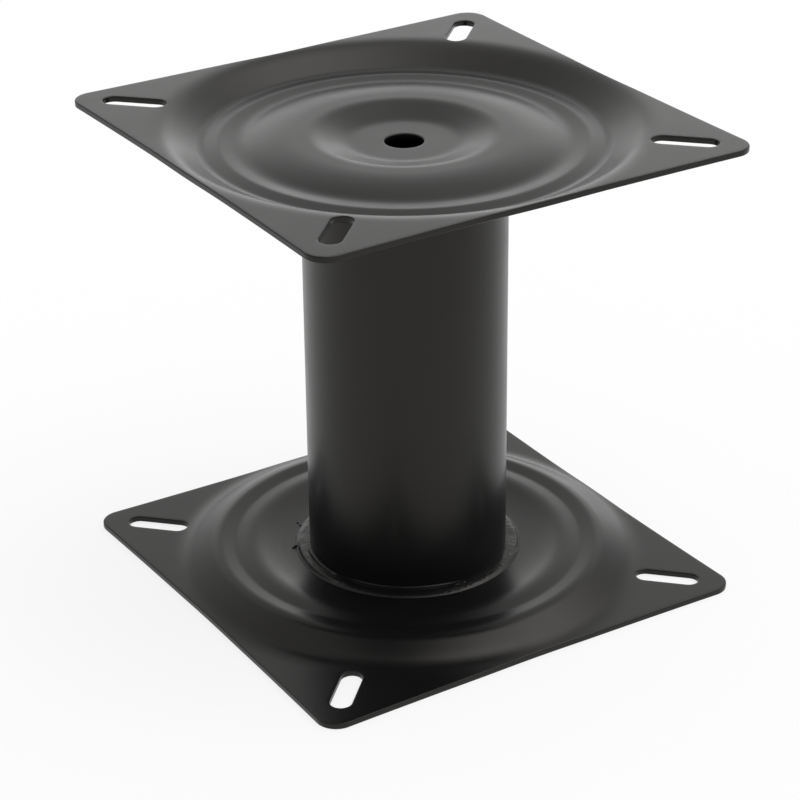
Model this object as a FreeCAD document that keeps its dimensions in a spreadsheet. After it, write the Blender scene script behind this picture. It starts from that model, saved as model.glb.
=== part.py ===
"""Fixed boat seat pedestal: a round tube welded between two square pressed plates.

Row frame: origin at the middle of the base plate's underside, +Z up the tube, plate sides along X and Y.
All sizes are millimetres and live in the sheet called sizes.
"""
import math
import os

import FreeCAD
import Part
import Sketcher
from FreeCAD import Placement, Rotation, Vector

SIZES = {
    # overall
    "height": 180.0,
    "plate_width": 180.0,
    "corner_radius": 8.0,
    "sheet_thickness": 2.3,
    # how far pressing the dish drew in the middle of each side
    "draw_in": 1.0,
    # tube between the plates
    "tube_diameter": 76.0,
    "tube_wall": 2.0,
    # holes in each plate; a slot's middle is inset alike from both sides
    "bore_diameter": 14.3,
    "slot_length": 24.0,
    "slot_width": 8.0,
    "slot_inset": 18.3,
    # dish inside the tube, outwards in: weld seat, then slope up to the dome
    "inner_seat_width": 2.2,
    "dome_run": 12.8,
    # dish outside the tube, inwards out: weld seat, then one run to each next corner of the section
    "outer_seat_width": 9.7,
    "crest_run": 12.1,
    "valley_run": 7.2,
    "ring_run": 5.8,
    "lip_run": 2.9,
    "knee_run": 8.3,
    "foot_run": 5.4,
    # steps of the domed face, each from the corner before it, from the flat margin in to the dome
    "knee_rise": 1.9,
    "lip_rise": 4.6,
    "ring_rise": 0.6,
    "valley_drop": 0.9,
    "crest_rise": 0.9,
    "seat_drop": 3.0,
    "dome_rise": 3.5,
    # inside radii of the bends
    "foot_bend": 10.0,
    "knee_bend": 6.0,
    "lip_bend": 1.0,
    "ring_bend": 3.0,
    "valley_bend": 2.0,
    "crest_bend": 14.0,
    "outer_seat_bend": 66.0,
    "inner_seat_bend": 14.0,
    "dome_bend": 18.0,
    # weld beads: reach over the plate, climb up the tube, and fullness of the face between
    "bead_reach": 5.7,
    "bead_climb": 1.8,
    "bead_crown": 0.4,
}

# Sizes that follow from those above, as formulas in the same sheet.
DERIVED = {
    "tube_radius": "tube_diameter / 2",
    "tube_bore_radius": "tube_radius - tube_wall",
    "tube_length": "height - 2 * seat_level",
    "bore_radius": "bore_diameter / 2",
    "inner_seat_radius": "tube_bore_radius - inner_seat_width",
    "dome_radius": "inner_seat_radius - dome_run",
    "outer_seat_radius": "tube_radius + outer_seat_width",
    "crest_radius": "outer_seat_radius + crest_run",
    "valley_radius": "crest_radius + valley_run",
    "ring_radius": "valley_radius + ring_run",
    "lip_radius": "ring_radius + lip_run",
    "knee_radius": "lip_radius + knee_run",
    "foot_radius": "knee_radius + foot_run",
    "blank_radius": "plate_width / sqrt(2)",
    "knee_level": "sheet_thickness + knee_rise",
    "lip_level": "knee_level + lip_rise",
    "ring_level": "lip_level + ring_rise",
    "valley_level": "ring_level - valley_drop",
    "crest_level": "valley_level + crest_rise",
    "seat_level": "crest_level - seat_drop",
    "dome_level": "seat_level + dome_rise",
    "corner_middle": "plate_width / 2 - corner_radius",
    "side_radius": "(draw_in ^ 2 + corner_middle ^ 2) / (2 * draw_in) - corner_radius",
    "slot_middle": "(plate_width / 2 - slot_inset) * sqrt(2)",
    "slot_end_radius": "slot_width / 2",
    "slot_near_end": "slot_middle - slot_length / 2 + slot_end_radius",
    "slot_far_end": "slot_middle + slot_length / 2 - slot_end_radius",
    "seat_edge": "outer_seat_radius - outer_seat_bend * tan(atan(seat_drop / crest_run) / 2)",
    "toe_run": "tube_radius + bead_reach - seat_edge",
    "toe_rise": "outer_seat_bend - sqrt(outer_seat_bend ^ 2 - toe_run ^ 2)",
    "bead_chord": "sqrt(bead_reach ^ 2 + (bead_climb - toe_rise) ^ 2)",
    "bead_face_radius": "(bead_chord ^ 2 / 4 + bead_crown ^ 2) / (2 * bead_crown)",
}

# Corners of the pressed section's domed face, from the blank's cut edge in to the bore: radius, level, bend.
CORNERS = (
    ("blank_radius", "sheet_thickness", None),
    ("foot_radius", "sheet_thickness", "foot_bend"),
    ("knee_radius", "knee_level", "knee_bend"),
    ("lip_radius", "lip_level", "lip_bend"),
    ("ring_radius", "ring_level", "ring_bend"),
    ("valley_radius", "valley_level", "valley_bend"),
    ("crest_radius", "crest_level", "crest_bend"),
    ("outer_seat_radius", "seat_level", "outer_seat_bend"),
    ("inner_seat_radius", "seat_level", "inner_seat_bend"),
    ("dome_radius", "dome_level", "dome_bend"),
    ("bore_radius", "dome_level", None),
)


def cell(alias):
    return "<<sizes>>." + alias


def make_sheet(doc):
    """Write every size as a named cell, and read back the numbers that the sketches start from."""
    sheet = doc.addObject("Spreadsheet::Sheet", "sizes")
    contents = {alias: str(number) for alias, number in SIZES.items()}
    contents.update({alias: "=" + formula for alias, formula in DERIVED.items()})
    for row, (alias, content) in enumerate(contents.items(), start=1):
        sheet.set("A%d" % row, alias)
        sheet.set("B%d" % row, content)
        sheet.setAlias("B%d" % row, alias)
    doc.recompute()
    return {alias: float(sheet.get(alias)) for alias in contents}


def add_sketch(body, label, role):
    """Lay a sketch on one of the body's own origin planes."""
    sketch = body.newObject("Sketcher::SketchObject", label)
    plane = [item for item in body.Origin.OriginFeatures if item.Role == role][0]
    sketch.AttachmentSupport = [(plane, "")]
    sketch.MapMode = "FlatFace"
    return sketch


def bind(sketch, alias, *constraint):
    """Add a dimension and tie it to the sheet's cell of that name."""
    index = sketch.addConstraint(Sketcher.Constraint(*constraint))
    name = "%s_%d" % (alias, index)
    sketch.renameConstraint(index, name)
    sketch.setExpression("Constraints." + name, cell(alias))


def add_line(sketch, start, end, guide=False):
    return sketch.addGeometry(Part.LineSegment(start, end), guide)


def add_arc(sketch, centre, radius, first, last):
    circle = Part.Circle(centre, Vector(0, 0, 1), radius)
    return sketch.addGeometry(Part.ArcOfCircle(circle, first, last), False)


def add_circle(sketch, size, alias):
    """Draw a circle about the origin whose radius is the named cell."""
    circle = sketch.addGeometry(Part.Circle(Vector(0, 0, 0), Vector(0, 0, 1), size[alias]), False)
    sketch.addConstraint(Sketcher.Constraint("Coincident", circle, 3, -1, 1))
    bind(sketch, alias, "Radius", circle, size[alias])


def add_trimmed_outline(sketch, size):
    """Draw the plate's outline: round corners and sides that bow in towards the dish."""
    middle = size["corner_middle"]
    bow = size["side_radius"]
    apart = size["plate_width"] / 2 - size["draw_in"] + bow
    lean = math.atan2(middle, apart - middle)
    sides = []
    corners = []
    for turn in range(4):
        spin = Rotation(Vector(0, 0, 1), 90 * turn)
        quarter = turn * math.pi / 2
        side_middle = spin.multVec(Vector(apart, 0, 0))
        sides.append(add_arc(sketch, side_middle, bow, quarter + math.pi - lean, quarter + math.pi + lean))
        corner_middle = spin.multVec(Vector(middle, middle, 0))
        corners.append(add_arc(
            sketch, corner_middle, size["corner_radius"], quarter - lean, quarter + math.pi / 2 + lean))
    for turn in range(4):
        sketch.addConstraint(Sketcher.Constraint("Tangent", sides[turn], 1, corners[turn], 1))
        sketch.addConstraint(Sketcher.Constraint("Tangent", corners[turn], 2, sides[(turn + 1) % 4], 2))
    for turn in range(3):
        sketch.addConstraint(Sketcher.Constraint("Equal", corners[turn], corners[turn + 1]))
        sketch.addConstraint(Sketcher.Constraint("Equal", sides[turn], sides[turn + 1]))
    bind(sketch, "corner_radius", "Radius", corners[0], size["corner_radius"])
    bind(sketch, "side_radius", "Radius", sides[0], bow)
    sketch.addConstraint(Sketcher.Constraint("Symmetric", corners[0], 3, corners[2], 3, -1, 1))
    sketch.addConstraint(Sketcher.Constraint("Symmetric", corners[1], 3, corners[3], 3, -1, 1))
    sketch.addConstraint(Sketcher.Constraint("Symmetric", corners[0], 3, corners[1], 3, -2))
    bind(sketch, "corner_middle", "DistanceX", -1, 1, corners[0], 3, middle)
    bind(sketch, "corner_middle", "DistanceY", -1, 1, corners[0], 3, middle)


def add_slot(sketch, size):
    """Draw one bolt slot along the sketch's X axis."""
    radius = size["slot_end_radius"]
    near, far = size["slot_near_end"], size["slot_far_end"]
    upper = add_line(sketch, Vector(far, radius, 0), Vector(near, radius, 0))
    inner = add_arc(sketch, Vector(near, 0, 0), radius, math.pi / 2, 3 * math.pi / 2)
    lower = add_line(sketch, Vector(near, -radius, 0), Vector(far, -radius, 0))
    outer = add_arc(sketch, Vector(far, 0, 0), radius, -math.pi / 2, math.pi / 2)
    chain = (upper, inner, lower, outer)
    for index in range(4):
        sketch.addConstraint(Sketcher.Constraint("Tangent", chain[index], 2, chain[(index + 1) % 4], 1))
    sketch.addConstraint(Sketcher.Constraint("Equal", inner, outer))
    sketch.addConstraint(Sketcher.Constraint("PointOnObject", inner, 3, -1))
    sketch.addConstraint(Sketcher.Constraint("PointOnObject", outer, 3, -1))
    bind(sketch, "slot_end_radius", "Radius", inner, radius)
    bind(sketch, "slot_near_end", "DistanceX", -1, 1, inner, 3, near)
    bind(sketch, "slot_far_end", "DistanceX", -1, 1, outer, 3, far)


def add_chain(sketch, corners, bends):
    """Draw straight runs between the corners, with a tangent arc of the given radius at each bend."""
    ends = [corners[0]]
    centres = []
    for before, corner, after, radius in zip(corners, corners[1:], corners[2:], bends):
        back = (before - corner).normalize()
        on = (after - corner).normalize()
        half_angle = back.getAngle(on) / 2
        ends.append(corner + back * (radius / math.tan(half_angle)))
        ends.append(corner + on * (radius / math.tan(half_angle)))
        centres.append(corner + (back + on).normalize() * (radius / math.sin(half_angle)))
    ends.append(corners[-1])
    runs = []
    for start, end in zip(ends[0::2], ends[1::2]):
        if end.x >= start.x:
            raise ValueError("bend radii leave no straight run near radius %.1f" % start.x)
        runs.append(add_line(sketch, start, end))
    arcs = []
    for index, (centre, radius) in enumerate(zip(centres, bends)):
        arms = [ends[2 * index + 1] - centre, ends[2 * index + 2] - centre]
        first, last = [math.atan2(arm.y, arm.x) for arm in arms]
        left_turn = arms[0].cross(arms[1]).z > 0
        if not left_turn:
            first, last = last, first
        arcs.append(add_arc(sketch, centre, radius, first, last))
        begin, finish = (1, 2) if left_turn else (2, 1)
        sketch.addConstraint(Sketcher.Constraint("Tangent", runs[index], 2, arcs[index], begin))
        sketch.addConstraint(Sketcher.Constraint("Tangent", arcs[index], finish, runs[index + 1], 1))
    return runs, arcs


def hollow_corners(corners, sheet):
    """Corners of the hollow face, which runs one sheet thickness under the domed face."""
    downs = []
    for before, after in zip(corners, corners[1:]):
        run = (after - before).normalize()
        downs.append(Vector(-run.y, run.x, 0))
    under = [corners[0] + downs[0] * sheet]
    for corner, down_in, down_out in zip(corners[1:], downs, downs[1:]):
        middle = (down_in + down_out).normalize()
        under.append(corner + middle * (sheet / middle.dot(down_in)))
    under.append(corners[-1] + downs[-1] * sheet)
    return under


def add_pressed_section(sketch, size):
    """Draw the bent sheet's half section, from the blank's cut edge in to the bore."""
    sheet = size["sheet_thickness"]
    corners = [Vector(size[radius], size[level], 0) for radius, level, bend in CORNERS]

    # corner points of the domed face, each held by its own cells
    guides = [add_line(sketch, start, end, True) for start, end in zip(corners, corners[1:])]
    for guide, following in zip(guides, guides[1:]):
        sketch.addConstraint(Sketcher.Constraint("Coincident", guide, 2, following, 1))
    points = [(guide, 1) for guide in guides] + [(guides[-1], 2)]
    for (radius, level, bend), point, corner in zip(CORNERS, points, corners):
        bind(sketch, radius, "DistanceX", -1, 1, *point, corner.x)
        bind(sketch, level, "DistanceY", -1, 1, *point, corner.y)

    # a bend that turns up has its centre over the domed face, so its inside is there
    turns_up = []
    for before, corner, after in zip(corners, corners[1:], corners[2:]):
        turns_up.append((corner - before).cross(after - corner).z < 0)
    bends = [bend for radius, level, bend in CORNERS[1:-1]]
    domed = [size[bend] if up else size[bend] + sheet for bend, up in zip(bends, turns_up)]
    hollow = [size[bend] + sheet if up else size[bend] for bend, up in zip(bends, turns_up)]
    domed_runs, domed_arcs = add_chain(sketch, corners, domed)
    hollow_runs, hollow_arcs = add_chain(sketch, hollow_corners(corners, sheet), hollow)

    sketch.addConstraint(Sketcher.Constraint("Coincident", domed_runs[0], 1, *points[0]))
    sketch.addConstraint(Sketcher.Constraint("Coincident", domed_runs[-1], 2, *points[-1]))
    for upper, guide in zip(domed_runs[1:], guides[1:]):
        sketch.addConstraint(Sketcher.Constraint("PointOnObject", upper, 1, guide))
    for upper, guide in zip(domed_runs[:-1], guides):
        sketch.addConstraint(Sketcher.Constraint("PointOnObject", upper, 2, guide))
    for lower, guide in zip(hollow_runs, guides):
        sketch.addConstraint(Sketcher.Constraint("Parallel", lower, guide))
        bind(sketch, "sheet_thickness", "Distance", lower, 1, guide, sheet)
    for bend, up, above, below in zip(bends, turns_up, domed_arcs, hollow_arcs):
        inside, outside = (above, below) if up else (below, above)
        bind(sketch, bend, "Radius", inside, size[bend])
        index = sketch.addConstraint(Sketcher.Constraint("Radius", outside, size[bend] + sheet))
        sketch.setExpression("Constraints[%d]" % index, cell(bend) + " + " + cell("sheet_thickness"))

    # cut ends of the sheet: the blank's edge, then the bore
    for end, corner, run in ((1, corners[0], 0), (2, corners[-1], -1)):
        closing = add_line(sketch, corner, corner - Vector(0, sheet, 0))
        sketch.addConstraint(Sketcher.Constraint("Coincident", closing, 1, domed_runs[run], end))
        sketch.addConstraint(Sketcher.Constraint("Coincident", closing, 2, hollow_runs[run], end))
        sketch.addConstraint(Sketcher.Constraint("Vertical", closing))


def turn_section(body, label, section):
    """Turn a section once round the body's Z axis."""
    turned = body.newObject("PartDesign::Revolution", label)
    turned.Profile = section
    turned.ReferenceAxis = (section, ["V_Axis"])
    turned.Angle = 360.0


def cut_through(body, label, outline):
    """Cut the outline upwards through the whole sheet."""
    cut = body.newObject("PartDesign::Pocket", label)
    cut.Profile = outline
    cut.Reversed = True
    cut.Type = "ThroughAll"
    return cut


def add_plate(doc, size, label):
    """Press a round blank into a ringed dish, trim it square, and cut its four bolt slots."""
    body = doc.addObject("PartDesign::Body", label)
    section = add_sketch(body, label + "_section", "XZ_Plane")
    add_pressed_section(section, size)
    turn_section(body, label + "_pressing", section)

    outline = add_sketch(body, label + "_outline", "XY_Plane")
    add_trimmed_outline(outline, size)
    add_circle(outline, size, "plate_width")
    cut_through(body, label + "_trim", outline)

    outline = add_sketch(body, label + "_slot_outline", "XY_Plane")
    add_slot(outline, size)
    outline.AttachmentOffset = Placement(Vector(0, 0, 0), Rotation(Vector(0, 0, 1), 45))
    slot = cut_through(body, label + "_slot", outline)
    slots = body.newObject("PartDesign::PolarPattern", label + "_slots")
    slots.Originals = [slot]
    slots.Axis = (outline, ["N_Axis"])
    slots.Angle = 360.0
    slots.Occurrences = 4
    body.Tip = slots
    return body


def add_tube(doc, size, label):
    """Cut one length of round tube to stand between the two plates' weld seats."""
    body = doc.addObject("PartDesign::Body", label)
    section = add_sketch(body, label + "_section", "XY_Plane")
    add_circle(section, size, "tube_radius")
    add_circle(section, size, "tube_bore_radius")
    length = body.newObject("PartDesign::Pad", label + "_length")
    length.Profile = section
    length.setExpression("Length", cell("tube_length"))
    return body


def add_bead(doc, size, label):
    """Run one fillet weld round the tube's end, lying on the plate's weld seat and the slope beside it."""
    body = doc.addObject("PartDesign::Body", label)
    section = add_sketch(body, label + "_section", "XZ_Plane")
    wall, edge, seat_bend = size["tube_radius"], size["seat_edge"], size["outer_seat_bend"]
    root, corner, top = Vector(wall, 0, 0), Vector(edge, 0, 0), Vector(wall, size["bead_climb"], 0)
    toe = Vector(wall + size["bead_reach"], size["toe_rise"], 0)
    foot = add_line(section, root, corner)
    swing = math.asin(size["toe_run"] / seat_bend)
    under = add_arc(section, corner + Vector(0, seat_bend, 0), seat_bend, -math.pi / 2, swing - math.pi / 2)
    back = add_line(section, top, root)
    chord = top - toe
    crown = (toe + top) / 2 + Vector(chord.y, -chord.x, 0).normalize() * size["bead_crown"]
    face = section.addGeometry(Part.ArcOfCircle(toe, crown, top), False)
    section.addConstraint(Sketcher.Constraint("Coincident", back, 2, foot, 1))
    section.addConstraint(Sketcher.Constraint("Tangent", foot, 2, under, 1))
    section.addConstraint(Sketcher.Constraint("Coincident", under, 2, face, 1))
    section.addConstraint(Sketcher.Constraint("Coincident", face, 2, back, 1))
    section.addConstraint(Sketcher.Constraint("PointOnObject", foot, 1, -1))
    section.addConstraint(Sketcher.Constraint("Horizontal", foot))
    section.addConstraint(Sketcher.Constraint("Vertical", back))
    bind(section, "tube_radius", "DistanceX", -1, 1, foot, 1, wall)
    bind(section, "seat_edge", "DistanceX", -1, 1, foot, 2, edge)
    bind(section, "outer_seat_bend", "Radius", under, seat_bend)
    bind(section, "bead_reach", "DistanceX", foot, 1, under, 2, size["bead_reach"])
    bind(section, "bead_climb", "DistanceY", back, 2, back, 1, size["bead_climb"])
    bind(section, "bead_face_radius", "Radius", face, size["bead_face_radius"])
    turn_section(body, label + "_ring", section)
    return body


def place(body, level, turned_over=False):
    """Set a piece at its level on the tube's axis."""
    rotation = Rotation(Vector(1, 0, 0), 180 if turned_over else 0)
    body.Placement = Placement(Vector(0, 0, 0), rotation)
    body.setExpression("Placement.Base.z", level)


def check(doc, bodies):
    """Stop at any failed feature, and at any piece that is not one valid solid."""
    for item in doc.Objects:
        if "Invalid" in item.State or "Error" in item.State:
            raise RuntimeError("failed feature: %s %s" % (item.Label, item.State))
    for body in bodies:
        if body.Shape.isNull() or not body.Shape.isValid() or len(body.Shape.Solids) != 1:
            raise RuntimeError("bad solid: " + body.Label)


def main():
    doc = FreeCAD.newDocument("pedestal")
    size = make_sheet(doc)
    base_plate = add_plate(doc, size, "base_plate")
    top_plate = add_plate(doc, size, "top_plate")
    column_tube = add_tube(doc, size, "column_tube")
    base_weld_bead = add_bead(doc, size, "base_weld_bead")
    top_weld_bead = add_bead(doc, size, "top_weld_bead")
    place(top_plate, cell("height"), turned_over=True)
    place(column_tube, cell("seat_level"))
    place(base_weld_bead, cell("seat_level"))
    place(top_weld_bead, cell("height") + " - " + cell("seat_level"), turned_over=True)
    doc.recompute()

    bodies = (base_plate, top_plate, column_tube, base_weld_bead, top_weld_bead)
    check(doc, bodies)
    os.makedirs("parts", exist_ok=True)
    for body in bodies:
        body.Shape.exportStep("parts/%s.step" % body.Label)
        box = body.Shape.optimalBoundingBox()
        print("%s %.0f mm3, z %.2f to %.2f" % (body.Label, body.Shape.Volume, box.ZMin, box.ZMax))


main()
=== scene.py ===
"""Looks of a fixed boat seat pedestal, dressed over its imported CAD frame.

Run as a script it finishes the two pressed plates, the tube and the two weld beads, then sets the studio.
Lengths are metres, as in the frame, and short ones are written as millimetres times MM. Only the plates
are drawn in plain millimetres, and turned to metres when their meshes are made.
"""
import math

import bpy
import numpy as np
from mathutils import Matrix, Vector, noise
from mathutils.bvhtree import BVHTree
from mathutils.geometry import delaunay_2d_cdt


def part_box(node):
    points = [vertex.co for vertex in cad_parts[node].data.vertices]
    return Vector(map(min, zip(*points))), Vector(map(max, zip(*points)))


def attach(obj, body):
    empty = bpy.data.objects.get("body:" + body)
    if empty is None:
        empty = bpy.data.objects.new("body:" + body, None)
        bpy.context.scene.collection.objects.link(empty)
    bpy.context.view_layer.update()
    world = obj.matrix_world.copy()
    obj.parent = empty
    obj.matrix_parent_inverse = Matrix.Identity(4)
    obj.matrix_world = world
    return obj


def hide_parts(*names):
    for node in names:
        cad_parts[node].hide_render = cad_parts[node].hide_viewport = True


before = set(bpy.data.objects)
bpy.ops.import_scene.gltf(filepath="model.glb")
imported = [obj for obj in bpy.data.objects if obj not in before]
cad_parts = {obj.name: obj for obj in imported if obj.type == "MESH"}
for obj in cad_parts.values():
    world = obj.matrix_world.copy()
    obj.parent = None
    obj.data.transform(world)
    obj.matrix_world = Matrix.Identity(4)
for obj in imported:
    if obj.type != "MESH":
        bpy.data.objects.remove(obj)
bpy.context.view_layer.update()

bl_info = {
    "name": "Boat Seat Pedestal",
    "version": (1, 0, 0),
    "blender": (4, 5, 0),
    "location": "3D View > Sidebar > Pedestal",
    "description": "Dresses a welded boat seat pedestal in satin black powder coat and sets its studio",
    "category": "Object",
}

MM = 0.001
TAU = 2 * math.pi

# Tube and beads, from the frame
TUBE_LOW, TUBE_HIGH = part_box("column_tube")
TUBE_RADIUS = TUBE_HIGH.x
SEAT_LEVEL = TUBE_LOW.z
BEAD_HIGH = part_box("base_weld_bead")[1]
BEAD_REACH = BEAD_HIGH.x - TUBE_RADIUS
BEAD_CLIMB = BEAD_HIGH.z - SEAT_LEVEL

# The plates' plan in mm
TOP_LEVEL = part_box("top_plate")[1].z
PLATE_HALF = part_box("base_plate")[1].x / MM
CORNER_RADIUS = 8.0
DRAW_IN = 1.0
BORE_RADIUS = 7.15
SLOT_MIDDLE = 101.4
SLOT_LENGTH = 24.0
SLOT_WIDTH = 8.0
SLOT_HALF = (SLOT_LENGTH - SLOT_WIDTH) / 2

# Each side is drawn in as an arc that meets the circles of both corners without a kink
CORNER_MIDDLE = PLATE_HALF - CORNER_RADIUS
SIDE_MIDDLE = PLATE_HALF - DRAW_IN
SIDE_RADIUS = (CORNER_MIDDLE ** 2 + (SIDE_MIDDLE - CORNER_MIDDLE) ** 2 - CORNER_RADIUS ** 2) / (
    2 * (CORNER_RADIUS - SIDE_MIDDLE + CORNER_MIDDLE))
SIDE_LEAN = math.asin(CORNER_MIDDLE / (SIDE_RADIUS + CORNER_RADIUS))

# Where a plate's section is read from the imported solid: along a line at this turn in degrees, clear of the
# slots, from just outside the bore and at radii in mm. The margin is flat from READ_END to SECTION_END.
READ_TURN = 20.0
READ_START = BORE_RADIUS + 0.05
READ_STEP = 0.1
READ_END = 93.0
SECTION_END = 102.0

# The wall's foot in mm: the middle, depth and spread of the dip that softens it
FOOT_MIDDLE = 86.0
FOOT_DIP = 0.45
FOOT_SPREAD = 2.0

# How widely pressing smooths the section in mm, over the rings and past the wall, from where the wider
# smoothing fades in and over what length, and how far out either reaches
RING_SMOOTHING = 0.25
FOOT_SMOOTHING = 1.3
FOOT_START = 79.0
FOOT_FADE = 5.0
SMOOTHING_REACH = 6.0

# Steps along the plan's outlines
SIDE_STEPS = 136
CORNER_STEPS = 24
SLOT_END_STEPS = 16
SLOT_SIDE_STEPS = 8

# The dish is a round grid out to GRID_END, and the margin a web of points with these gaps, all in mm
GRID_AROUND = 288
GRID_RINGS = 128
GRID_END = 84.0
WEB_RINGS = 33
WEB_STEP = 1.25
WEB_PITCH = 1.4
WEB_CLEAR = 0.7

# The bead's face: height of the plate's slope where it ends, how much its toe stands up and over what share
# of the face that rounds off, how full it is, how far it stays under the solid beside the tube, and how far
# its toe wanders
TOE_RISE = 0.12 * MM
TOE_STEP = 0.6 * MM
TOE_SHARE = 0.3
BEAD_CROWN = 0.16 * MM
BEAD_SINK = 0.3 * MM
BEAD_WANDER = 0.22 * MM

# Stretches of a bead, each as first and last turn and the fade at its ends in degrees: where it sinks deeper
# beside the tube, where a thin lap climbs the tube, and where the ripples stand out
SUNK_STRETCH = (245, 350, 25)
SUNK_DEPTH = 0.35 * MM
LAP_STRETCH = (195, 275, 20)
LAP_HEIGHT = 0.35 * MM
LAP_WIDTH = 0.3 * MM
RIPPLED_STRETCH = (235, 300, 25)

# Marks that the welder left in the lower bead, each a groove along the bead: first and last turn and the fade
# at its ends in degrees, then distance from the tube, width and depth in mm
BASE_BEAD_MARKS = (
    (149, 200, 9, 4.5, 0.36, 0.75),
    (160, 196, 8, 1.2, 0.34, 0.70),
    (196, 268, 16, 1.7, 0.60, 0.30),
    (262, 274, 3, 2.2, 0.40, 0.20),
    (312, 350, 8, 4.8, 0.26, 0.32),
)

# Drops of spatter beside the lower bead: turn in degrees, distance from the axis, radius and height in mm
SPATTER = (
    (129.5, 45.5, 0.42, 0.30),
    (131.5, 43.9, 0.38, 0.25),
    (153.5, 43.6, 0.60, 0.45),
    (154.5, 44.6, 0.45, 0.30),
)

# A bead's mesh: steps round it, and across it, of which the last ones close it against tube and plate
BEAD_AROUND = 1080
BEAD_ACROSS = 52
BEAD_FACE = 46

# The studio's light: the tent's even level, then each soft panel's middle as azimuth from +X and elevation in
# degrees, how tightly its light gathers round that middle, and its strength over the tent
TENT_LEVEL = 0.52
SOFT_PANELS = (
    (50, 0, 20, 1.9),
    (340, 63, 9, 3.05),
    (74, 16, 60, 0.9),
    (44, 24, 60, 0.45),
    (95, 40, 6, 0.35),
)

# Share of the paper's own white in what the camera and reflections see, beside the shadow on it
PAPER_GLOW = 0.8


def linear(colour):
    """Turn an sRGB hex colour into linear red, green, blue and alpha."""
    channels = [int(colour[place:place + 2], 16) / 255 for place in (1, 3, 5)]
    return [c / 12.92 if c <= 0.04045 else ((c + 0.055) / 1.055) ** 2.4 for c in channels] + [1.0]


def eased(share):
    """Bend a share from 0 to 1 so that it starts and ends softly."""
    return share * share * (3 - 2 * share)


class PEDESTAL_PG_coat(bpy.types.PropertyGroup):
    """The finish that covers the whole weldment."""

    colour: bpy.props.StringProperty(
        name="Coat Colour", description="sRGB hex colour of the powder coat", default="#0E0E0F")
    gloss: bpy.props.FloatProperty(
        name="Roughness", description="Roughness of the cured coat", default=0.30, min=0.05, max=1.0)
    peel: bpy.props.FloatProperty(
        name="Orange Peel", description="Width of one dimple of the coat's orange peel",
        default=1.6 * MM, min=0.2 * MM, max=10 * MM, unit="LENGTH", subtype="DISTANCE", precision=5)
    edge: bpy.props.FloatProperty(
        name="Edge Round", description="Radius that the coat leaves on the cut edges of sheet and tube",
        default=0.45 * MM, min=0.0, max=1 * MM, unit="LENGTH", subtype="DISTANCE", precision=5)


class PEDESTAL_PG_weld(bpy.types.PropertyGroup):
    """The beads that join the tube to the plates."""

    ripple: bpy.props.FloatProperty(
        name="Ripple Pitch", description="Distance between two ripples along a bead",
        default=2.6 * MM, min=0.5 * MM, max=10 * MM, unit="LENGTH", subtype="DISTANCE", precision=5)
    ripple_height: bpy.props.FloatProperty(
        name="Ripple Height", description="Height of one ripple",
        default=0.025 * MM, min=0.0, max=1 * MM, unit="LENGTH", subtype="DISTANCE", precision=5)
    lump_height: bpy.props.FloatProperty(
        name="Lump Height", description="How unevenly a bead was laid",
        default=0.16 * MM, min=0.0, max=1 * MM, unit="LENGTH", subtype="DISTANCE", precision=5)


class PEDESTAL_PG_stage(bpy.types.PropertyGroup):
    """The studio and its camera."""

    azimuth: bpy.props.FloatProperty(
        name="Camera Azimuth", description="Turn of the camera round the pedestal, from the near side",
        default=math.radians(-32.112), subtype="ANGLE", unit="ROTATION")
    elevation: bpy.props.FloatProperty(
        name="Camera Elevation", description="Angle of the camera above the horizon",
        default=math.radians(26.811), subtype="ANGLE", unit="ROTATION")
    roll: bpy.props.FloatProperty(
        name="Camera Roll", description="Tilt of the picture about the line of sight",
        default=math.radians(-0.579), subtype="ANGLE", unit="ROTATION")
    place: bpy.props.FloatVectorProperty(
        name="Camera Place", description="Where the camera stands",
        default=(-0.4776, -0.7564, 0.5197), subtype="TRANSLATION", unit="LENGTH")
    focal_length: bpy.props.FloatProperty(
        name="Focal Length", description="Focal length in millimetres on a 36 mm sensor", default=119.18)
    floor_colour: bpy.props.StringProperty(
        name="Floor Colour", description="sRGB hex colour of the studio floor", default="#F4F4F4")


def select_only(piece):
    """Make this the one selected and active object."""
    bpy.ops.object.select_all(action="DESELECT")
    piece.select_set(True)
    bpy.context.view_layer.objects.active = piece


def add_node(tree, kind, inputs=None, **settings):
    """Add a node, set its fields, and fill its inputs with values or with other nodes' outputs."""
    made = tree.nodes.new(kind)
    for name, setting in settings.items():
        setattr(made, name, setting)
    for name, source in (inputs or {}).items():
        if isinstance(source, bpy.types.NodeSocket):
            tree.links.new(source, made.inputs[name])
        else:
            made.inputs[name].default_value = source
    return made


def empty_material(name):
    """Make a material with no nodes yet."""
    material = bpy.data.materials.new(name)
    material.use_nodes = True
    material.node_tree.nodes.clear()
    return material


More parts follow.
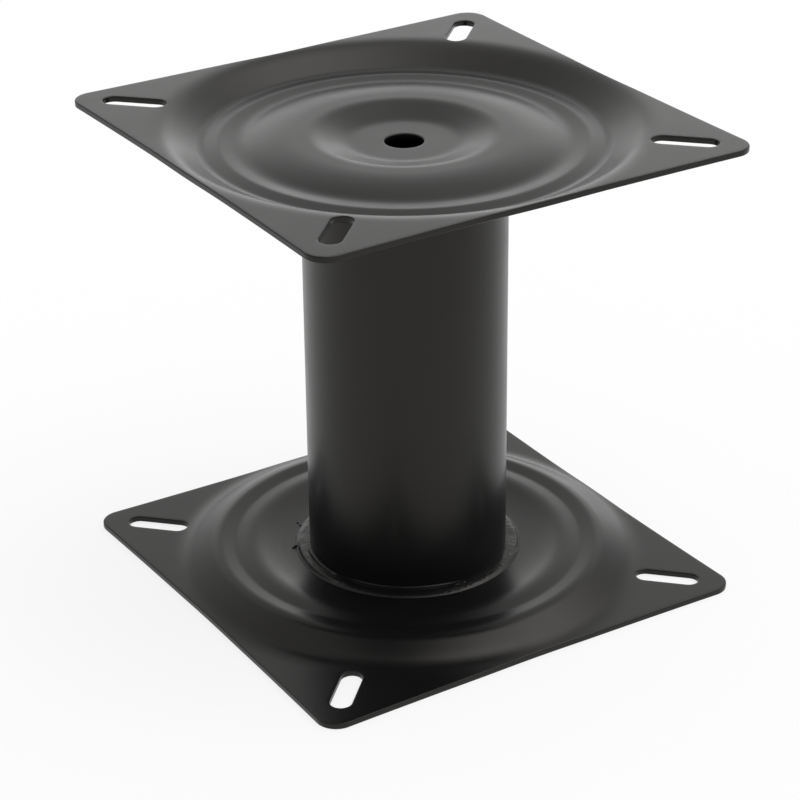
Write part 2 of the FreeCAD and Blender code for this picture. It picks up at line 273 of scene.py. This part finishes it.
def powder_coat(name, peel_depth, seed):
    """Polyester powder coat over steel: a thick, even film with satin gloss and faint orange peel.

    The film hides the steel, so it is no metal. Its gloss varies a little in patches about 24 mm wide.
    """
    coat = bpy.context.scene.pedestal_coat
    patch, uneven = 24 * MM, 0.025
    material = empty_material(name)
    tree = material.node_tree
    place = add_node(tree, "ShaderNodeTexCoord").outputs["Object"]
    moved = add_node(tree, "ShaderNodeMapping", {"Vector": place, "Location": (seed, seed, seed)})
    point = moved.outputs["Vector"]
    peel = add_node(tree, "ShaderNodeTexNoise", {
        "Vector": point, "Scale": 1 / coat.peel, "Detail": 1.0, "Roughness": 0.4})
    patches = add_node(tree, "ShaderNodeTexNoise", {
        "Vector": point, "Scale": 1 / patch, "Detail": 3.0, "Roughness": 0.55})
    gloss = add_node(tree, "ShaderNodeMapRange", {
        "Value": patches.outputs["Fac"], "From Min": 0.3, "From Max": 0.7,
        "To Min": coat.gloss - uneven, "To Max": coat.gloss + uneven})
    relief = add_node(tree, "ShaderNodeBump", {
        "Height": peel.outputs["Fac"], "Strength": 1.0, "Distance": peel_depth})
    shader = add_node(tree, "ShaderNodeBsdfPrincipled", {
        "Base Color": linear(coat.colour), "Roughness": gloss.outputs["Result"],
        "IOR": 1.38, "Specular Tint": linear("#FFFBF4"), "Normal": relief.outputs["Normal"]})
    add_node(tree, "ShaderNodeOutputMaterial", {"Surface": shader.outputs["BSDF"]})
    return material


def keep_flats_flat(piece):
    """Let the large faces set the shading beside a rounded edge."""
    shading = piece.modifiers.new("flat_faces_stay_flat", "WEIGHTED_NORMAL")
    shading.mode = "FACE_AREA"
    shading.keep_sharp = True
    bpy.ops.object.modifier_apply(modifier=shading.name)


def turned(point, quarters):
    """Turn a point and its direction by quarter turns about the plate's middle."""
    x, y, across, along = point
    for _ in range(quarters):
        x, y, across, along = -y, x, -along, across
    return x, y, across, along


def outline_loop():
    """Points along the plate's outline in mm, anticlockwise, each with the direction out of the metal."""
    quarter = []
    for step in range(SIDE_STEPS + 1):
        turn = SIDE_LEAN * (2 * step / SIDE_STEPS - 1)
        across, along = -math.sin(turn), -math.cos(turn)
        x, y = SIDE_RADIUS * math.sin(turn), -SIDE_MIDDLE - SIDE_RADIUS + SIDE_RADIUS * math.cos(turn)
        quarter.append((x, y, across, along))
    for step in range(1, CORNER_STEPS):
        turn = -math.pi / 2 - SIDE_LEAN + (math.pi / 2 + 2 * SIDE_LEAN) * step / CORNER_STEPS
        across, along = math.cos(turn), math.sin(turn)
        x, y = CORNER_MIDDLE + CORNER_RADIUS * across, -CORNER_MIDDLE + CORNER_RADIUS * along
        quarter.append((x, y, across, along))
    return [turned(point, quarters) for quarters in range(4) for point in quarter]


def slot_loop(quarters):
    """Points round one slot in mm, each with the direction out of the metal, into the slot."""
    radius, diagonal = SLOT_WIDTH / 2, math.pi / 4
    walk = []
    for end in (1, -1):
        walk += [(end * SLOT_HALF, math.pi * (step / SLOT_END_STEPS - end / 2))
                 for step in range(SLOT_END_STEPS + 1)]
        walk += [(end * SLOT_HALF * (1 - 2 * step / SLOT_SIDE_STEPS), end * math.pi / 2)
                 for step in range(1, SLOT_SIDE_STEPS)]
    loop = []
    for shift, turn in walk:
        along, across = SLOT_MIDDLE + shift + radius * math.cos(turn), radius * math.sin(turn)
        x = along * math.cos(diagonal) - across * math.sin(diagonal)
        y = along * math.sin(diagonal) + across * math.cos(diagonal)
        loop.append(turned((x, y, -math.cos(turn + diagonal), -math.sin(turn + diagonal)), quarters))
    return loop


def bore_loop():
    """Points round the bore in mm, each with the direction out of the metal, towards the middle."""
    loop = []
    for step in range(GRID_AROUND):
        x, y = math.cos(TAU * step / GRID_AROUND), math.sin(TAU * step / GRID_AROUND)
        loop.append((BORE_RADIUS * x, BORE_RADIUS * y, -x, -y))
    return loop


def edge_distance(x, y):
    """Distance in mm from a point to the nearest edge of outline or slot, positive inside the metal."""
    x, y = abs(x), abs(y)
    if x > CORNER_MIDDLE and y > CORNER_MIDDLE:
        inside = CORNER_RADIUS - math.hypot(x - CORNER_MIDDLE, y - CORNER_MIDDLE)
    else:
        side_middle = SIDE_MIDDLE + SIDE_RADIUS
        inside = min(math.hypot(x, side_middle - y), math.hypot(y, side_middle - x)) - SIDE_RADIUS
    along = max(0.0, abs((x + y) / math.sqrt(2) - SLOT_MIDDLE) - SLOT_HALF)
    slot = math.hypot(along, (x - y) / math.sqrt(2)) - SLOT_WIDTH / 2
    return min(inside, slot)


def smoothed(level, spread):
    """Smooth a row of heights over a spread in mm."""
    reach = round(SMOOTHING_REACH / READ_STEP)
    weight = np.exp(-(np.arange(-reach, reach + 1) * READ_STEP / spread) ** 2 / 2)
    return np.convolve(np.pad(level, reach, mode="edge"), weight / weight.sum(), mode="valid")


def pressed_section():
    """Heights in mm of the base plate's domed and hollow face by radius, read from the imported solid.

    At the wall's foot the sheet dips under the solid's bend by about a third of a millimetre and fades into
    the flat margin, as it does in the photograph.
    """
    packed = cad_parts["base_plate"].data
    solid = BVHTree.FromPolygons([v.co for v in packed.vertices], [p.vertices for p in packed.polygons])
    radii = np.arange(READ_START, SECTION_END, READ_STEP)
    reads = np.minimum(radii, READ_END) * MM
    across, along = math.cos(math.radians(READ_TURN)), math.sin(math.radians(READ_TURN))
    dip = FOOT_DIP * np.exp(-((radii - FOOT_MIDDLE) / FOOT_SPREAD) ** 2)
    soft = eased(np.clip((radii - FOOT_START) / FOOT_FADE, 0, 1))
    faces = []
    # the domed face is met from above and the hollow face from below
    for start, way in ((50 * MM, -1), (-50 * MM, 1)):
        hits = [solid.ray_cast(Vector((r * across, r * along, start)), Vector((0, 0, way)))[0] for r in reads]
        level = np.array([hit.z for hit in hits]) / MM
        level = np.maximum(level - dip, level[-1])
        faces.append(smoothed(level, RING_SMOOTHING) * (1 - soft) + smoothed(level, FOOT_SMOOTHING) * soft)
    return radii, faces


def dish_grid(edge_round):
    """Points in mm and faces of the round grid that carries a plate's dish, from the bore outwards."""
    turns = [TAU * step / GRID_AROUND for step in range(GRID_AROUND)]
    rings = np.linspace(BORE_RADIUS + edge_round, GRID_END, GRID_RINGS)
    points = [(radius * math.cos(turn), radius * math.sin(turn)) for radius in rings for turn in turns]
    faces = []
    for first in range(0, len(points) - GRID_AROUND, GRID_AROUND):
        for step in range(GRID_AROUND):
            here, after = first + step, first + (step + 1) % GRID_AROUND
            faces.append((here, here + GRID_AROUND, after + GRID_AROUND, after))
    return points, faces


def margin_points():
    """Points in mm on rings over the plate's margin, with every other ring half a step on."""
    for ring in range(1, WEB_RINGS + 1):
        radius = GRID_END + WEB_STEP * ring
        around = round(TAU * radius / WEB_PITCH)
        for step in range(around):
            turn = TAU * (step + 0.5 * (ring % 2)) / around
            yield radius * math.cos(turn), radius * math.sin(turn)


def plate_plan(edge_round):
    """Points of a plate's face in mm, its faces, and its rims as point numbers with the edges beyond them.

    Each rim stands back from its edge by the round that the coat leaves there.
    """
    points, faces = dish_grid(edge_round)
    rims = [(list(range(GRID_AROUND)), bore_loop())]

    # the web starts with the grid's last ring and the rims, as closed loops of its own numbers
    web = list(range(len(points) - GRID_AROUND, len(points)))
    loops = [list(range(GRID_AROUND))]
    for edge in [outline_loop()] + [slot_loop(quarters) for quarters in range(4)]:
        rim = list(range(len(points), len(points) + len(edge)))
        points += [(x - edge_round * across, y - edge_round * along) for x, y, across, along in edge]
        rims.append((rim, edge))
        loops.append(list(range(len(web), len(web) + len(edge))))
        web += rim
    for x, y in margin_points():
        if edge_distance(x, y) > edge_round + WEB_CLEAR:
            web.append(len(points))
            points.append((x, y))

    # only the triangles between grid and rims are metal: the web also spans the drawn-in sides and the slots
    sides = [(loop[step - 1], loop[step]) for loop in loops for step in range(len(loop))]
    _, _, triangles, origins, _, _ = delaunay_2d_cdt(
        [Vector(points[number]) for number in web], sides, [], 0, 1e-6)
    grid_edge = GRID_END * math.cos(math.pi / GRID_AROUND)
    for triangle in triangles:
        corners = [web[origins[number][0]] for number in triangle]
        x, y = (sum(points[number][axis] for number in corners) / 3 for axis in (0, 1))
        if math.hypot(x, y) > grid_edge and edge_distance(x, y) > edge_round:
            faces.append(tuple(corners))
    return points, faces, rims


def plate_shell(edge_round):
    """Vertices in mm and faces of one plate, domed side up, with its cut edges rounded by the coat."""
    points, faces, rims = plate_plan(edge_round)
    radii, levels = pressed_section()
    distance = [math.hypot(x, y) for x, y in points]
    domed, hollow = (np.interp(distance, radii, level) for level in levels)
    vertices = [(x, y, z) for face in (domed, hollow) for (x, y), z in zip(points, face)]
    shapes = faces + [tuple(number + len(points) for number in reversed(face)) for face in faces]
    for rim, edge in rims:
        rows = [rim]
        # over the domed face's round, then down the cut and round to the hollow face, in steps of 30 degrees
        for is_hollow, angle in ((0, 30), (0, 60), (0, 90), (1, 90), (1, 60), (1, 30)):
            turn = math.radians(angle)
            back, drop = edge_round * (1 - math.sin(turn)), edge_round * (1 - math.cos(turn))
            rows.append(list(range(len(vertices), len(vertices) + len(edge))))
            for number, (x, y, across, along) in zip(rim, edge):
                z = hollow[number] + drop if is_hollow else domed[number] - drop
                vertices.append((x - back * across, y - back * along, z))
        rows.append([number + len(points) for number in rim])
        for row, below in zip(rows, rows[1:]):
            for step in range(len(edge)):
                shapes.append((row[step - 1], row[step], below[step], below[step - 1]))
    return vertices, shapes


def pressed_plate(name, node, shell, level, way_up, material):
    """Set one plate at its level, domed side up or turned over, and coat it."""
    vertices, shapes = shell
    mesh = bpy.data.meshes.new(name)
    mesh.from_pydata([(x * MM, y * MM, level + way_up * z * MM) for x, y, z in vertices], [], shapes)
    piece = bpy.data.objects.new(name, mesh)
    bpy.context.scene.collection.objects.link(piece)
    select_only(piece)
    bpy.ops.object.mode_set(mode="EDIT")
    bpy.ops.mesh.select_all(action="SELECT")
    bpy.ops.mesh.normals_make_consistent(inside=False)
    bpy.ops.object.mode_set(mode="OBJECT")
    bpy.ops.object.shade_smooth()
    keep_flats_flat(piece)
    piece.data.materials.append(material)
    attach(piece, "root")
    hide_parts(node)
    return piece


class PEDESTAL_OT_plates(bpy.types.Operator):
    """Press both plates"""

    bl_idname = "pedestal.plates"
    bl_label = "Press Plates"

    def execute(self, context):
        material = powder_coat("satin_powder_coat_on_pressed_steel", 0.006 * MM, 0.0)
        # the panel keeps single precision, so the rest of its digits is dropped
        shell = plate_shell(round(context.scene.pedestal_coat.edge / MM, 6))
        pressed_plate("base_plate_coated", "base_plate", shell, 0.0, 1, material)
        pressed_plate("top_plate_coated", "top_plate", shell, TOP_LEVEL, -1, material)
        return {"FINISHED"}


def coated_tube(name, node, material):
    """Merge a copy of the CAD tube's loose triangles, round its cut ends and coat it."""
    piece = bpy.data.objects.new(name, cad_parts[node].data.copy())
    bpy.context.scene.collection.objects.link(piece)
    select_only(piece)
    bpy.ops.object.mode_set(mode="EDIT")
    bpy.ops.mesh.select_all(action="SELECT")
    bpy.ops.mesh.remove_doubles(threshold=0.002 * MM)
    bpy.ops.mesh.customdata_custom_splitnormals_clear()
    bpy.ops.object.mode_set(mode="OBJECT")
    edge = piece.modifiers.new("cut_edges", "BEVEL")
    edge.width = bpy.context.scene.pedestal_coat.edge
    edge.segments = 2
    edge.limit_method = "ANGLE"
    edge.angle_limit = math.radians(50)
    edge.use_clamp_overlap = False
    bpy.ops.object.modifier_apply(modifier=edge.name)
    bpy.ops.object.shade_smooth_by_angle(angle=math.radians(30))
    keep_flats_flat(piece)
    piece.data.materials.clear()
    piece.data.materials.append(material)
    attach(piece, "root")
    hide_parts(node)
    return piece


class PEDESTAL_OT_tube(bpy.types.Operator):
    """Dress the tube"""

    bl_idname = "pedestal.tube"
    bl_label = "Dress Tube"

    def execute(self, context):
        material = powder_coat("satin_powder_coat_on_drawn_tube", 0.004 * MM, 3.0)
        coated_tube("column_tube_coated", "column_tube", material)
        return {"FINISHED"}


def bump(offset, width):
    """A smooth hill of height one that fades within about twice its width."""
    return math.exp(-(offset / width) ** 2)


def stretch(turn, first, last, fade):
    """One between two turns in degrees, fading to nothing over some degrees at each end."""
    inside = min((turn - first) / fade, (last - turn) / fade)
    return eased(min(1.0, max(0.0, inside)))


def bead_face(turn, share, seed, marks):
    """Radius and height over the weld seat, from the toe at share 0 to the tube at share 1."""
    weld = bpy.context.scene.pedestal_weld
    degrees = math.degrees(turn)
    around = Vector((math.cos(turn), math.sin(turn), seed))
    wander = noise.noise(around * 2.5)
    lump = noise.noise(around * 7.0 + Vector((0, 0, 3 * share)))
    radius = TUBE_RADIUS + BEAD_REACH * (1 - share) + BEAD_WANDER * wander * (1 - share)
    swell = math.sin(math.pi * min(1.0, share * 1.04))

    # the even face, then the thin lap on the tube
    edge = TOE_RISE + TOE_STEP
    climb = BEAD_CLIMB - BEAD_SINK - SUNK_DEPTH * stretch(degrees, *SUNK_STRETCH)
    height = edge + (climb - edge) * share + BEAD_CROWN * swell
    height -= TOE_STEP * max(0.0, 1 - share / TOE_SHARE) ** 2
    height += LAP_HEIGHT * bump(radius - TUBE_RADIUS, LAP_WIDTH) * stretch(degrees, *LAP_STRETCH)

    # lumps and ripples, as the pool was moved along, and the marks left in it
    height += weld.lump_height * lump * swell
    phase = turn * TUBE_RADIUS / weld.ripple * TAU + 2.4 * swell + 9 * wander + 5 * lump
    strength = 1 + 3 * stretch(degrees, *RIPPLED_STRETCH)
    height += weld.ripple_height * (0.5 + lump) * math.sin(phase) * swell * strength
    for first, last, fade, place, width, depth in marks:
        height -= depth * MM * stretch(degrees, first, last, fade) * bump(
            radius - TUBE_RADIUS - place * MM, width * MM)
    return radius, height


def lay_bead(name, node, seed, level, way_up, marks, drops):
    """Lay one weld bead round the tube's end, with its marks and the drops that it threw."""
    bpy.ops.object.select_all(action="DESELECT")
    bpy.ops.mesh.primitive_grid_add(x_subdivisions=BEAD_AROUND, y_subdivisions=BEAD_ACROSS, size=1)
    piece = bpy.context.object
    piece.name = name
    for vertex in piece.data.vertices:
        turn = (vertex.co.x + 0.5) * TAU
        step = round((vertex.co.y + 0.5) * BEAD_ACROSS)
        if step in (0, BEAD_ACROSS):
            # the section starts and ends at the toe's edge, just past the face
            radius, up = TUBE_RADIUS + BEAD_REACH + 0.05 * MM, TOE_RISE
        elif step <= BEAD_FACE:
            radius, up = bead_face(turn % TAU, (step - 1) / (BEAD_FACE - 1), seed, marks)
        else:
            # down the tube, then out along the plate
            share = (step - BEAD_FACE) / (BEAD_ACROSS - BEAD_FACE)
            radius = TUBE_RADIUS + BEAD_REACH * max(0.0, 2 * share - 1)
            up = BEAD_CLIMB * max(0.0, 1 - 2 * share)
        vertex.co = (radius * math.cos(turn), radius * math.sin(turn), level + way_up * up)
    select_only(piece)
    bpy.ops.object.mode_set(mode="EDIT")
    bpy.ops.mesh.select_all(action="SELECT")
    bpy.ops.mesh.remove_doubles(threshold=0.001 * MM)
    bpy.ops.mesh.normals_make_consistent(inside=False)
    bpy.ops.object.mode_set(mode="OBJECT")
    bpy.ops.object.shade_smooth_by_angle(angle=math.radians(40))
    for degrees, distance, radius, rise in drops:
        turn = math.radians(degrees)
        x, y = distance * MM * math.cos(turn), distance * MM * math.sin(turn)
        bpy.ops.mesh.primitive_uv_sphere_add(
            segments=16, ring_count=10, radius=radius * MM, location=(x, y, level + way_up * rise * MM))
        bpy.ops.object.shade_smooth()
        piece.select_set(True)
        bpy.context.view_layer.objects.active = piece
        bpy.ops.object.join()
    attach(piece, "root")
    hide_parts(node)
    return piece


class PEDESTAL_OT_beads(bpy.types.Operator):
    """Lay the weld beads at the tube's foot and head"""

    bl_idname = "pedestal.beads"
    bl_label = "Lay Weld Beads"

    def execute(self, context):
        material = powder_coat("satin_powder_coat_over_weld", 0.02 * MM, 7.0)
        foot = lay_bead("base_weld_bead_laid", "base_weld_bead", 0.0, SEAT_LEVEL, 1, BASE_BEAD_MARKS, SPATTER)
        head = lay_bead("top_weld_bead_laid", "top_weld_bead", 11.0, TUBE_HIGH.z, -1, (), ())
        for bead in (foot, head):
            bead.data.materials.append(material)
        return {"FINISHED"}


def studio_floor(colour):
    """Seamless paper, white to the camera and in reflections, with the pedestal's own soft shadow."""
    material = empty_material("seamless_white_paper")
    tree = material.node_tree
    rays = add_node(tree, "ShaderNodeLightPath")
    paper = add_node(tree, "ShaderNodeBsdfDiffuse", {"Color": linear(colour)})
    glow = add_node(tree, "ShaderNodeEmission", {"Color": (1.0, 1.0, 1.0, 1.0), "Strength": 1.0})
    seen = add_node(tree, "ShaderNodeMath", {
        0: rays.outputs["Is Camera Ray"], 1: rays.outputs["Is Glossy Ray"]}, operation="ADD")
    seen = add_node(tree, "ShaderNodeMath", {
        0: seen.outputs[0], 1: rays.outputs["Is Transmission Ray"]}, operation="ADD", use_clamp=True)
    lift = add_node(tree, "ShaderNodeMath", {0: seen.outputs[0], 1: PAPER_GLOW}, operation="MULTIPLY")
    mixed = add_node(tree, "ShaderNodeMixShader", {
        0: lift.outputs[0], 1: paper.outputs["BSDF"], 2: glow.outputs["Emission"]})
    add_node(tree, "ShaderNodeOutputMaterial", {"Surface": mixed.outputs["Shader"]})
    return material


def light_world():
    """A white tent of even light with soft panels behind it."""
    world = bpy.data.worlds.new("studio_tent")
    bpy.context.scene.world = world
    world.use_nodes = True
    tree = world.node_tree
    tree.nodes.clear()
    direction = add_node(tree, "ShaderNodeTexCoord").outputs["Generated"]
    level = TENT_LEVEL
    for azimuth, elevation, gather, strength in SOFT_PANELS:
        turn, rise = math.radians(azimuth), math.radians(elevation)
        middle = (math.cos(turn) * math.cos(rise), math.sin(turn) * math.cos(rise), math.sin(rise))
        near = add_node(tree, "ShaderNodeVectorMath", {0: direction, 1: middle}, operation="DOT_PRODUCT")
        ahead = add_node(tree, "ShaderNodeMath", {0: near.outputs["Value"], 1: 0.0}, operation="MAXIMUM")
        soft = add_node(tree, "ShaderNodeMath", {0: ahead.outputs[0], 1: float(gather)}, operation="POWER")
        level = add_node(tree, "ShaderNodeMath", {
            0: soft.outputs[0], 1: strength, 2: level}, operation="MULTIPLY_ADD").outputs[0]
    tent = add_node(tree, "ShaderNodeBackground", {"Color": (1.0, 1.0, 1.0, 1.0), "Strength": level})
    add_node(tree, "ShaderNodeOutputWorld", {"Surface": tent.outputs["Background"]})


def aim_camera():
    """Stand the camera where the photograph was taken from."""
    stage = bpy.context.scene.pedestal_stage
    turn, rise = stage.azimuth, stage.elevation
    back = Vector((math.sin(turn) * math.cos(rise), -math.cos(turn) * math.cos(rise), math.sin(rise)))
    right = (-back).cross(Vector((0, 0, 1))).normalized()
    up = right.cross(-back)
    tilted_right = right * math.cos(stage.roll) + up * math.sin(stage.roll)
    tilted_up = up * math.cos(stage.roll) - right * math.sin(stage.roll)
    data = bpy.data.cameras.new("studio_camera")
    data.sensor_width = 36.0
    data.lens = stage.focal_length
    camera = bpy.data.objects.new("studio_camera", data)
    bpy.context.scene.collection.objects.link(camera)
    axes = Matrix((tilted_right, tilted_up, back)).transposed().to_4x4()
    camera.matrix_world = Matrix.Translation(Vector(stage.place)) @ axes
    bpy.context.scene.camera = camera


class PEDESTAL_OT_stage(bpy.types.Operator):
    """Set the studio floor, light and camera"""

    bl_idname = "pedestal.stage"
    bl_label = "Set Stage"

    def execute(self, context):
        bpy.ops.object.select_all(action="DESELECT")
        bpy.ops.mesh.primitive_plane_add(size=12.0, location=(0, 0, 0))
        floor = context.object
        floor.name = "studio_floor"
        floor.data.materials.append(studio_floor(context.scene.pedestal_stage.floor_colour))
        light_world()
        aim_camera()
        context.scene.view_settings.view_transform = "Standard"
        return {"FINISHED"}


class VIEW3D_PT_pedestal(bpy.types.Panel):
    """Sizes, finish and steps of the pedestal"""

    bl_label = "Boat Seat Pedestal"
    bl_space_type = "VIEW_3D"
    bl_region_type = "UI"
    bl_category = "Pedestal"

    def draw(self, context):
        layout = self.layout
        for group in GROUPS:
            settings = getattr(context.scene, group)
            box = layout.box()
            for name in settings.__annotations__:
                box.prop(settings, name)
        for step in STEPS:
            layout.operator(step.bl_idname)


STEPS = (PEDESTAL_OT_plates, PEDESTAL_OT_tube, PEDESTAL_OT_beads, PEDESTAL_OT_stage)
GROUPS = {
    "pedestal_coat": PEDESTAL_PG_coat,
    "pedestal_weld": PEDESTAL_PG_weld,
    "pedestal_stage": PEDESTAL_PG_stage,
}


def register():
    for made in (*GROUPS.values(), *STEPS, VIEW3D_PT_pedestal):
        bpy.utils.register_class(made)
    for name, group in GROUPS.items():
        setattr(bpy.types.Scene, name, bpy.props.PointerProperty(type=group))


def unregister():
    for name in GROUPS:
        delattr(bpy.types.Scene, name)
    for made in (VIEW3D_PT_pedestal, *reversed(STEPS), *GROUPS.values()):
        bpy.utils.unregister_class(made)


def main():
    register()
    bpy.ops.pedestal.plates()
    bpy.ops.pedestal.tube()
    bpy.ops.pedestal.beads()
    bpy.ops.pedestal.stage()


if __name__ == "__main__":
    main()
